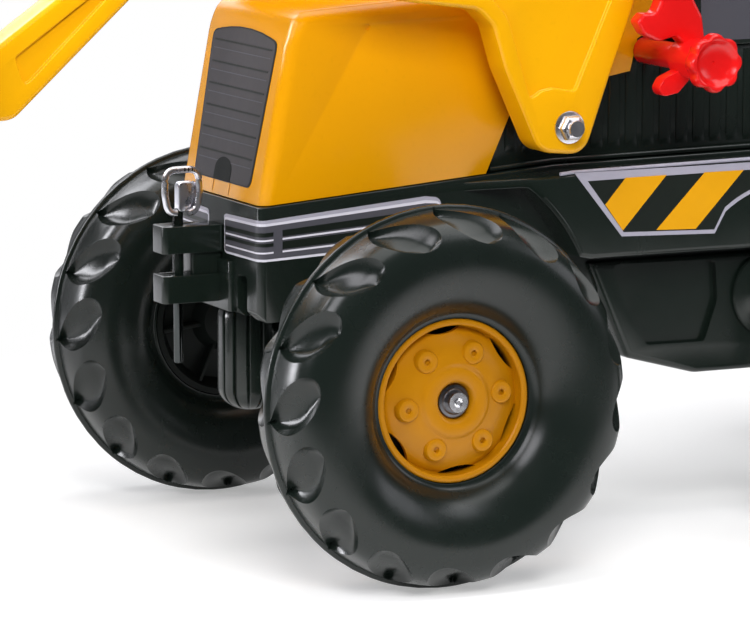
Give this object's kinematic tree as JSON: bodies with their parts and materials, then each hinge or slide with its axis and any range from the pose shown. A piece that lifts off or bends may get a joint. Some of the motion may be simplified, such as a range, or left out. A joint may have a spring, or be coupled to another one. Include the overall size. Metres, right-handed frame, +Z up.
{
  "type": "ride-on digger",
  "caption": "Child's pedal ride-on digger with a front loader bucket, steerable front axle, chain drive, seat and a slewing rear digger arm.",
  "frame": {"origin": "centre of the bounding box's base, on the ground", "axes": "+Z up; +Y towards the back, along the vehicle; +X towards the vehicle's left side; the front faces -Y"},
  "size_m": [0.47, 1.6021, 0.5468],
  "materials": {
    "chassis_black": "moulded black plastic, satin",
    "hood_yellow": "glossy amber-yellow moulded plastic",
    "arm_yellow": "glossy bright yellow moulded plastic",
    "tyre_black": "hard blow-moulded black plastic, semi-gloss",
    "hub_yellow": "glossy amber-yellow moulded plastic",
    "lever_red": "glossy red moulded plastic",
    "zinc_steel": "bright zinc-plated steel",
    "dark_steel": "black painted steel",
    "seat_black": "grained black plastic",
    "bucket_black": "satin black plastic"
  },
  "bodies": {
    "chassis": {"chassis_shell": "chassis_black", "nose_block": "chassis_black", "hood": "hood_yellow", "engine_cowl": "chassis_black", "dash": "chassis_black", "coupling_bracket": "chassis_black", "chain_guard": "chassis_black", "drive_chain": "dark_steel", "crank_bearing": "chassis_black", "seat": "seat_black", "loader_pivot_shaft": "zinc_steel", "pivot_nut_left": "zinc_steel", "pivot_nut_right": "zinc_steel", "lever_shaft": "lever_red", "digger_mount": "chassis_black", "slew_pin": "zinc_steel"},
    "front_axle": {"front_axle_beam": "chassis_black", "front_axle_rod": "zinc_steel", "front_left_push_nut": "zinc_steel", "front_right_push_nut": "zinc_steel"},
    "steering": {"steering_column": "dark_steel", "steering_wheel": "zinc_steel", "steering_wheel_cap": "hood_yellow"},
    "front_left_wheel": {"front_left_tyre": "tyre_black", "front_left_hub": "hub_yellow"},
    "front_right_wheel": {"front_right_tyre": "tyre_black", "front_right_hub": "hub_yellow"},
    "rear_drive": {"rear_axle_rod": "zinc_steel", "axle_sprocket": "dark_steel", "rear_right_tyre": "tyre_black", "rear_right_hub": "hub_yellow", "rear_right_push_nut": "zinc_steel", "rear_left_push_nut": "zinc_steel"},
    "rear_left_wheel": {"rear_left_tyre": "tyre_black", "rear_left_hub": "hub_yellow"},
    "crank": {"pedal_crank": "dark_steel", "crank_sprocket": "dark_steel"},
    "left_pedal": {"pedal_left": "chassis_black"},
    "right_pedal": {"pedal_right": "chassis_black"},
    "loader": {"loader_arm_left": "arm_yellow", "loader_arm_right": "arm_yellow", "loader_cross_tube": "arm_yellow"},
    "loader_scoop": {"loader_bucket": "bucket_black", "bucket_pin_left": "zinc_steel", "bucket_pin_right": "zinc_steel"},
    "lever": {"lock_lever": "lever_red"},
    "knob": {"star_knob": "lever_red"},
    "coupling": {"coupling_pin": "zinc_steel", "coupling_ring": "zinc_steel"},
    "slew": {"slew_post": "arm_yellow", "boom_pin": "zinc_steel"},
    "boom": {"digger_boom": "arm_yellow", "boom_lever": "lever_red"},
    "dipper": {"digger_dipper": "arm_yellow", "dipper_pin": "zinc_steel", "tail_pin": "zinc_steel"},
    "dipper_hand_lever": {"dipper_lever": "lever_red"},
    "link": {"dipper_link": "dark_steel"},
    "digger_scoop": {"digger_bucket": "bucket_black", "digger_bucket_pin": "zinc_steel"}
  },
  "joints": [
    {"name": "steer_axle", "type": "hinge", "parent": "chassis", "child": "front_axle", "pos_m": [0, -0.338, 0.114], "axis": [0, 0, 1], "range_deg": [-16, 16]},
    {"name": "steer_column", "type": "hinge", "parent": "chassis", "child": "steering", "pos_m": [0, 0.007, 0.475], "axis": [0, 0.5, 0.866], "range_deg": [-40, 40]},
    {"name": "front_left_spin", "type": "hinge", "parent": "front_axle", "child": "front_left_wheel", "pos_m": [0.1672, -0.338, 0.114], "axis": [1, 0, 0], "continuous": true},
    {"name": "front_right_spin", "type": "hinge", "parent": "front_axle", "child": "front_right_wheel", "pos_m": [-0.1672, -0.338, 0.114], "axis": [1, 0, 0], "continuous": true},
    {"name": "rear_drive_turn", "type": "hinge", "parent": "chassis", "child": "rear_drive", "pos_m": [0, 0.202, 0.133], "axis": [1, 0, 0], "continuous": true},
    {"name": "rear_left_spin", "type": "hinge", "parent": "rear_drive", "child": "rear_left_wheel", "pos_m": [0.1875, 0.202, 0.133], "axis": [1, 0, 0], "continuous": true},
    {"name": "crank_turn", "type": "hinge", "parent": "chassis", "child": "crank", "pos_m": [0, -0.061, 0.145], "axis": [1, 0, 0], "continuous": true},
    {"name": "left_pedal_turn", "type": "hinge", "parent": "crank", "child": "left_pedal", "pos_m": [0.146, -0.061, 0.06], "axis": [1, 0, 0], "continuous": true},
    {"name": "right_pedal_turn", "type": "hinge", "parent": "crank", "child": "right_pedal", "pos_m": [-0.146, -0.061, 0.23], "axis": [1, 0, 0], "continuous": true},
    {"name": "loader_lift", "type": "hinge", "parent": "chassis", "child": "loader", "pos_m": [0, -0.2225, 0.261], "axis": [-1, 0, 0], "range_deg": [-27, 18]},
    {"name": "loader_tip", "type": "hinge", "parent": "loader", "child": "loader_scoop", "pos_m": [0, -0.598, 0.2985], "axis": [1, 0, 0], "range_deg": [-25, 60]},
    {"name": "lock_lever_turn", "type": "hinge", "parent": "chassis", "child": "lever", "pos_m": [0, -0.1487, 0.301], "axis": [1, 0, 0], "range_deg": [-30, 10]},
    {"name": "star_knob_turn", "type": "hinge", "parent": "chassis", "child": "knob", "pos_m": [0.1505, -0.1487, 0.301], "axis": [1, 0, 0], "continuous": true},
    {"name": "coupling_pin_lift", "type": "slide", "parent": "chassis", "child": "coupling", "axis": [0, 0, 1], "range_m": [0, 0.088]},
    {"name": "digger_slew", "type": "hinge", "parent": "chassis", "child": "slew", "pos_m": [0, 0.43, 0.186], "axis": [0, 0, 1], "range_deg": [-60, 60]},
    {"name": "boom_lift", "type": "hinge", "parent": "slew", "child": "boom", "pos_m": [0, 0.488, 0.262], "axis": [1, 0, 0], "range_deg": [-12, 16]},
    {"name": "dipper_swing", "type": "hinge", "parent": "boom", "child": "dipper", "pos_m": [0, 0.672, 0.49], "axis": [1, 0, 0], "range_deg": [-14, 18]},
    {"name": "dipper_lever_swing", "type": "hinge", "parent": "boom", "child": "dipper_hand_lever", "pos_m": [0, 0.488, 0.262], "axis": [1, 0, 0], "range_deg": [-14, 18]},
    {"name": "dipper_link_swing", "type": "hinge", "parent": "dipper_hand_lever", "child": "link", "pos_m": [0, 0.468, 0.308], "axis": [1, 0, 0], "range_deg": [-18, 14]},
    {"name": "digger_scoop_curl", "type": "hinge", "parent": "dipper", "child": "digger_scoop", "pos_m": [0, 0.767, 0.262], "axis": [1, 0, 0], "range_deg": [-38, 50]}
  ],
  "couplings": [
    {"joint": "steer_column", "follows": "steer_axle", "ratio": 2.5},
    {"joint": "crank_turn", "follows": "rear_drive_turn", "ratio": 1},
    {"joint": "dipper_lever_swing", "follows": "dipper_swing", "ratio": 1},
    {"joint": "dipper_link_swing", "follows": "dipper_swing", "ratio": -1}
  ]
}
